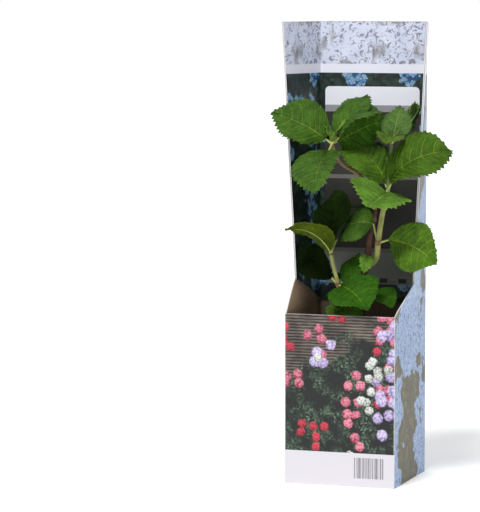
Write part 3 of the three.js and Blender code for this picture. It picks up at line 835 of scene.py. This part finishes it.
class Blade:
    """The bent surface of one leaf: where its stalk leads, how it droops, sweeps, folds, curls."""

    def __init__(self, node, azimuth, rise, stalk, length, width, nod=0, droop=0, sweep=0, fold=10,
                 curl=8, roll=0, shoulder=0.44):
        turn = radians(azimuth)
        heading = lambda up: Vector((cos(radians(up)) * cos(turn),
                                     cos(radians(up)) * sin(turn),
                                     sin(radians(up))))
        self.forward = heading(rise)
        level = Vector((-sin(turn), cos(turn), 0))
        lean = Matrix.Rotation(radians(roll), 3, self.forward)
        self.side = lean @ level
        self.face = lean @ self.forward.cross(level)
        self.droop, self.sweep = radians(droop), radians(sweep)
        self.fold, self.arc = radians(fold), radians(curl) or 1e-4
        self.length, self.width, self.shoulder = length, width, shoulder
        self.foot = Vector(node)
        at = self.foot + heading(rise + nod) * stalk
        self.line = [at.copy()]
        for i in range(LEAF_STEPS):
            at += self.frame(max(0, (i + 0.5) / LEAF_STEPS - LEAF_LAG))[0] * (length / LEAF_STEPS)
            self.line.append(at.copy())

    def frame(self, part):
        """The leaf's own directions at a part of its length: along, across, up."""
        bend, turn = self.droop * part, self.sweep * part
        down = self.forward * cos(bend) - self.face * sin(bend)
        up = self.face * cos(bend) + self.forward * sin(bend)
        return (down * cos(turn) + self.side * sin(turn),
                self.side * cos(turn) - down * sin(turn), up)

    def spine(self, part):
        place = min(max(part, 0), 1) * LEAF_STEPS
        k = min(LEAF_STEPS - 1, int(place))
        return self.line[k].lerp(self.line[k + 1], place - k)

    def half(self, part):
        drawn_out = 1 - 0.4 * max(0, part) ** 8
        return max(0.5, self.width / 2 * half_width(part, self.shoulder) * drawn_out)

    def point(self, part, out):
        """The point and upward normal at a part of the length and a signed share of the half."""
        across, up = self.frame(part)[1:]
        tilt = self.fold * (1.35 - 0.7 * part)
        lean = tilt - self.arc * abs(out)
        half, way = self.half(part), (out > 0) - (out < 0)
        reach = half * (sin(tilt) - sin(lean)) / self.arc
        lift = half * (cos(lean) - cos(tilt)) / self.arc
        normal = up * cos(lean) - across * way * sin(lean) if way else up
        return self.spine(part) + across * way * reach + up * lift, normal


def leaf_blade(blades, blade, tint, seed, coarse, thick):
    """The toothed, veined and quilted blade of a leaf. Each tint has four slots: top, midrib,
    vein and under side. Coarse is 1 for young leaves with deep teeth, and less for old ones."""
    size = blade.length / 70
    teeth = max(6, min(22, round(blade.length / TOOTH_SPACE)))
    rows = []
    for step in range(4 * teeth + 1):
        margin = step / (4 * teeth)
        margin += 0.011 * sin(14 * margin + 2.1 * seed) * sin(pi * margin)
        vein = step % 8 == 4 and step < 4 * teeth - 4
        for edge in ((-1, 1) if vein else (0,)):
            rows.append((margin, step % 4, edge, 0 if vein else (step / 8 + 0.5) % 1))
    columns = [-c for c in COLUMNS[::-1]] + [*COLUMNS]
    grid = []
    for margin, notch, edge, phase in rows:
        foot = margin - VEIN_SLANT * sin(pi * margin)
        line = []
        for column in columns:
            v, way = abs(column), 1 if column > 0 else -1
            part = foot + (margin - foot) * v ** 1.3
            part = min(max(part + edge * VEIN_SHARE * (1 - 0.6 * v), 0), 1)
            half = blade.half(part)
            out = min(0.6, 0.5 * size * (1.3 - part) / half) if v == RIB_COLUMN else v
            place, normal = blade.point(part, out * way)
            along, across = blade.frame(part)[:2]
            quilt = -0.3 * size
            if v > RIB_COLUMN:
                swell = sin(pi * phase) ** 0.7 if phase else 0
                blister = abs(sin(pi * v * half / 3.7 + seed + 2.1 * margin * teeth))
                quilt = size * (0.4 + 0.6 * coarse) * swell * (2.6 + 0.5 * blister)
                quilt *= v ** 0.5 * (1 - 0.62 * v)
            pucker = 0.4 * size * noise.noise(place / 3.1) * min(1, v * 3)
            beat = 1.6 * part + seed * 0.37 + (0.3 if way > 0 else 0)
            wave = 2 * size * v * v * sin(2 * pi * beat)
            sway = 1.8 * size * v * noise.noise(place / (17 * size))
            place = place + normal * (quilt + pucker + wave + sway)
            if v == 1:
                bite = TOOTH_DEPTH * coarse * min(1, 0.5 + 0.5 * size)
                bite *= min(1, margin / 0.08) * min(1, (1 - margin) / 0.05)
                bite *= 1 + 0.35 * noise.noise(Vector((seed * 7.1, margin * 40, way * 3)))
                outward, onward = TOOTH_STEPS[notch]
                place = place + (across * way * outward + along * onward) * bite
            under = thick + (0.25 * size if edge else 0)
            line.append([blades.verts.new(p * MM) for p in (place, place - normal * under)])
        grid.append(line)
    first, last = 4 * tint, len(columns) - 1
    for (low, high), (margin, notch, edge, phase) in zip(zip(grid, grid[1:]), rows):
        for c in range(last):
            top = blades.faces.new([low[c][0], high[c][0], high[c + 1][0], low[c + 1][0]])
            top.material_index = first + (1 if c == last // 2 else 2 if edge == -1 else 0)
            below = blades.faces.new([low[c][1], low[c + 1][1], high[c + 1][1], high[c][1]])
            below.material_index = first + 3
            top.smooth = below.smooth = True
        for c in (0, last):
            rim = blades.faces.new([low[c][0], high[c][0], high[c][1], low[c][1]])
            rim.material_index = first + 2
    for line in (grid[0], grid[-1]):
        for a, b in zip(line, line[1:]):
            blades.faces.new([a[0], b[0], b[1], a[1]]).material_index = first


def leaf_stalk(stalks, blade, thick):
    """The stalk of a leaf, which goes on as a slim rib under the blade."""
    size = blade.length / 70
    start, up = blade.spine(0), blade.frame(0)[2]
    route = [blade.foot, blade.foot.lerp(start - up, 0.5), start - up * 0.9]
    for part in [k / 10 for k in range(1, 9)]:
        sunk = thick + 0.25 + 0.5 * size * (1 - part)
        route.append(blade.spine(part) - blade.frame(part)[2] * sunk)
    stations = smooth_path(route, 1.6)
    leaf_at = (start - blade.foot).length / path_length(stations)

    def stalk_radius(part, turn, place):
        if part < leaf_at:
            share = part / leaf_at
            stout = 0.55 + 0.45 * min(1, size * 1.4)
            return (1.55 - 0.55 * share + 0.5 * max(0, 1 - share * 5)) * stout
        share = (part - leaf_at) / (1 - leaf_at)
        return max(0.22, (0.95 - 0.75 * share) * min(1, size))

    tube(stalks, stations, stalk_radius, 10, flat=0.9)


# Leaf tissue: cloudy, puckered into small cells between a net of paler veins, softly glossy.
leaf_tissue, given, place = new_group("leaf_tissue", "Dark Light Net")
shade = ramp(clouds(place, 210, 6) * 0.6 + clouds(place, 55, 3), 0.62, 0.98)
bent = add(leaf_tissue, "Mix",
           {"Factor": 0.004, 4: place, 5: clouds(place, 260)["Color"]}, 1, data_type="VECTOR")
net = cells_at(bent, 330, feature="DISTANCE_TO_EDGE")
body = mix(shade, given["Dark"], given["Light"])
close_group(leaf_tissue, Color=mix(ramp(net, 0, 0.13, 0.4, 0), body, given["Net"]),
            Height=ramp(net, 0, 0.3))

# The leaf greens as (name, top, under side, gloss). Lit is a lighter copy, painted light for leaves
# that face the lamp; deep, dim and shade are darker copies, painted shade for leaves deep in the
# carton and behind others.
TINTS = (
    ("mid", (56, 96, 18), (96, 124, 60), 0.12),
    ("lit", (67, 101, 20), (102, 128, 60), 0.13),
    ("fresh", (56, 89, 22), (100, 128, 62), 0.13),
    ("pale", (84, 122, 38), (112, 142, 74), 0.15),
    ("dull", (58, 88, 14), (92, 118, 54), 0.12),
    ("bright", (42, 82, 10), (88, 124, 48), 0.1),
    ("young", (92, 128, 42), (122, 148, 70), 0.2),
    ("tender", (71, 97, 22), (108, 132, 56), 0.13),
    ("deep", (32, 60, 15), (66, 90, 40), 0.1),
    ("blue", (66, 95, 40), (98, 128, 72), 0.15),
    ("olive", (72, 88, 22), (68, 82, 10), 0.08),
    ("dim", (24, 44, 7), (28, 46, 14), 0.04),
    ("shade", (9, 20, 2), (14, 26, 6), 0.02),
)
leaf_skins = []
for name, top, under, gloss in TINTS:
    pale = [c * 0.82 + lift * min(100, max(top)) for c, lift in zip(top, (0.48, 0.46, 0.2))]
    rib, vein = [[c + (p - c) * share for c, p in zip(top, pale)] for share in (1.25, 0.75)]
    for kind, colour, rough, relief in (("leaf", top, 0.52, 0.6), ("rib", rib, 0.55, 0.1),
                                        ("vein", vein, 0.6, 0.2), ("under", under, 0.65, 0.4)):
        colours = [(*[min(1, c * share) for c in tone(*colour)[:3]], 1)
                   for share in (0.65, 1.38, 1.75)]
        leaf_skins.append(grained(f"{kind}_{name}", leaf_tissue, colours, rough, relief, 0.0009,
                                  gloss))
tint_order = [name for name, *rest in TINTS]
stalk_skin = bark("stalk_skin", (132, 150, 66), (182, 194, 110), 0.5, 0.15)
shoot_skin = bark("shoot_skin", (70, 86, 36), (104, 120, 58), 0.5, 0.15)


def leaf(tint, joint, **bend):
    return tint_order.index(tint), Blade(NODES[joint], **bend)


MASSES = {
    "crown_left": [
        leaf("fresh", "crown_left", azimuth=196, rise=35, nod=6, stalk=9, length=69, width=56,
             droop=37, sweep=8, fold=16, curl=1, roll=-64, shoulder=0.41),
        leaf("fresh", "crown_left", azimuth=-14, rise=70, nod=-26, stalk=11, length=63, width=61,
             droop=108, sweep=-3, fold=14, curl=3, roll=49, shoulder=0.46),
        leaf("fresh", "crown_left", azimuth=262, rise=-26, nod=-11, stalk=15, length=71, width=60,
             droop=26, sweep=19, fold=18, curl=8, roll=10, shoulder=0.4),
        leaf("mid", "crown_left", azimuth=61, rise=22, nod=-9, stalk=9, length=67, width=55,
             droop=-24, sweep=-4, fold=6, curl=6, roll=88, shoulder=0.38),
        leaf("fresh", "crown_left", azimuth=23, rise=60, nod=3, stalk=13, length=57, width=43,
             droop=39, sweep=23, fold=9, curl=12, roll=28, shoulder=0.58),
        leaf("deep", "crown_left", azimuth=135, rise=25, stalk=9, length=50, width=38, droop=25,
             fold=12),
        leaf("young", "crown_left", azimuth=-20, rise=62, stalk=3, length=30, width=20, droop=20,
             fold=22, roll=40),
        leaf("young", "crown_left", azimuth=165, rise=74, stalk=3, length=24, width=15, droop=30,
             fold=25),
    ],
    "crown_right": [
        leaf("lit", "crown_right", azimuth=201, rise=70, stalk=7, length=73, width=57, droop=96,
             sweep=8, fold=2, curl=12, roll=-51, shoulder=0.46),
        leaf("dull", "crown_right", azimuth=-56, rise=42, nod=2, stalk=12, length=89, width=63,
             droop=116, sweep=24, fold=13, curl=5, roll=79, shoulder=0.53),
        leaf("pale", "crown_right", azimuth=271, rise=-9, nod=-8, stalk=10, length=63, width=72,
             droop=4, sweep=-7, fold=18, curl=1, roll=-21, shoulder=0.46),
        leaf("deep", "crown_right", azimuth=125, rise=64, stalk=11, length=50, width=40, droop=22,
             fold=14, shoulder=0.42),
        leaf("mid", "apex", azimuth=72, rise=27, nod=5, stalk=28, length=49, width=30, droop=-17,
             sweep=-5, fold=13, curl=12, roll=-82, shoulder=0.54),
        leaf("blue", "apex", azimuth=88, rise=52, nod=-11, stalk=5, length=46, width=34, droop=-3,
             fold=7, curl=11, roll=12),
        leaf("tender", "apex", azimuth=286, rise=34, nod=6, stalk=4, length=36, width=30,
             droop=88, sweep=-8, fold=15, curl=13, roll=-11, shoulder=0.47),
        leaf("young", "apex", azimuth=190, rise=68, stalk=2, length=15, width=9, droop=20,
             fold=25),
        leaf("young", "apex", azimuth=10, rise=68, stalk=2, length=15, width=9, droop=20,
             fold=25),
    ],
    "left_spray": [
        leaf("olive", "spray_left", azimuth=186, rise=58, nod=26, stalk=3, length=61, width=42,
             droop=84, sweep=-11, fold=18, curl=18, roll=46, shoulder=0.4),
        leaf("dim", "spray_left", azimuth=82, rise=73, nod=10, stalk=9, length=68, width=52,
             droop=19, sweep=26, fold=17, curl=9, roll=-15, shoulder=0.53),
        leaf("young", "spray_left", azimuth=20, rise=70, stalk=3, length=17, width=9, droop=10,
             fold=25),
    ],
    "middle_right": [
        leaf("lit", "middle", azimuth=-20, rise=-4, nod=20, stalk=15, length=78, width=56,
             droop=-17, sweep=-35, fold=9, curl=9, roll=74, shoulder=0.49)],
    "middle_left": [
        leaf("fresh", "middle", azimuth=185, rise=11, nod=63, stalk=22, length=57, width=45,
             droop=102, sweep=27, fold=2, curl=23, roll=-54, shoulder=0.38)],
    "low_left": [
        leaf("shade", "spray_low", azimuth=157, rise=33, stalk=12, length=57, width=43, sweep=-10,
             fold=28, curl=-3, roll=-72, shoulder=0.46)],
    "low_front": [
        leaf("bright", "spray_low", azimuth=319, rise=-7, stalk=7, length=63, width=60, droop=21,
             sweep=-24, fold=16, curl=6, roll=30, shoulder=0.45)],
    "low_inner": [
        leaf("bright", "spray_low", azimuth=37, rise=50, nod=-13, stalk=6, length=37, width=28,
             droop=-8, sweep=12, fold=4, curl=15, roll=30, shoulder=0.41)],
    "foot_left": [
        leaf("fresh", "low_left", azimuth=289, rise=-6, nod=31, stalk=12, length=36, width=42,
             droop=72, sweep=2, fold=11, curl=14, roll=-4, shoulder=0.48)],
    "foot_right": [
        leaf("bright", "low_right", azimuth=325, rise=-1, nod=10, stalk=20, length=42, width=32,
             droop=24, sweep=-32, fold=24, curl=5, roll=23)],
    "sprout": [
        leaf("pale", "sprout", azimuth=282, rise=-18, nod=24, stalk=12, length=24, width=17,
             droop=74, sweep=-4, fold=30, curl=1, roll=-9, shoulder=0.41)],
    "back_upper": [
        leaf("deep", "back_high", azimuth=140, rise=15, nod=10, stalk=14, length=54, width=42,
             droop=30, fold=12)],
    "back_lower": [
        leaf("deep", "back_low", azimuth=150, rise=15, nod=10, stalk=14, length=50, width=38,
             droop=25, fold=12)],
}
FINE_TOOTHED = ("left_spray", "middle_right", "low_front", "low_inner", "foot_left", "foot_right",
                "low_left")
seed = 0
for mass, leaves in MASSES.items():
    blades, stalks = bmesh.new(), bmesh.new()
    for tint, blade in leaves:
        seed += 1
        thick = 0.42 if blade.length > 25 else 0.3
        coarse = 0.4 if mass in FINE_TOOTHED else 1
        leaf_blade(blades, blade, tint, seed, coarse, thick)
        leaf_stalk(stalks, blade, thick)
    if mass == "crown_right":
        shoot = smooth_path([(44.5, -31, 319), NODES["crown_right"], (46.5, -30.5, 348),
                             NODES["apex"]], 1.5)
        tube(stalks, shoot, lambda part, turn, place: 2.6 - 0.8 * part, 14, lambda place: 1)
    node = f"{mass}_foliage" if len(leaves) > 1 else f"{mass}_leaf"
    finish_piece(f"{mass}_blades", blades, leaf_skins, node)
    finish_piece(f"{mass}_stalks", stalks, [stalk_skin, shoot_skin], node)
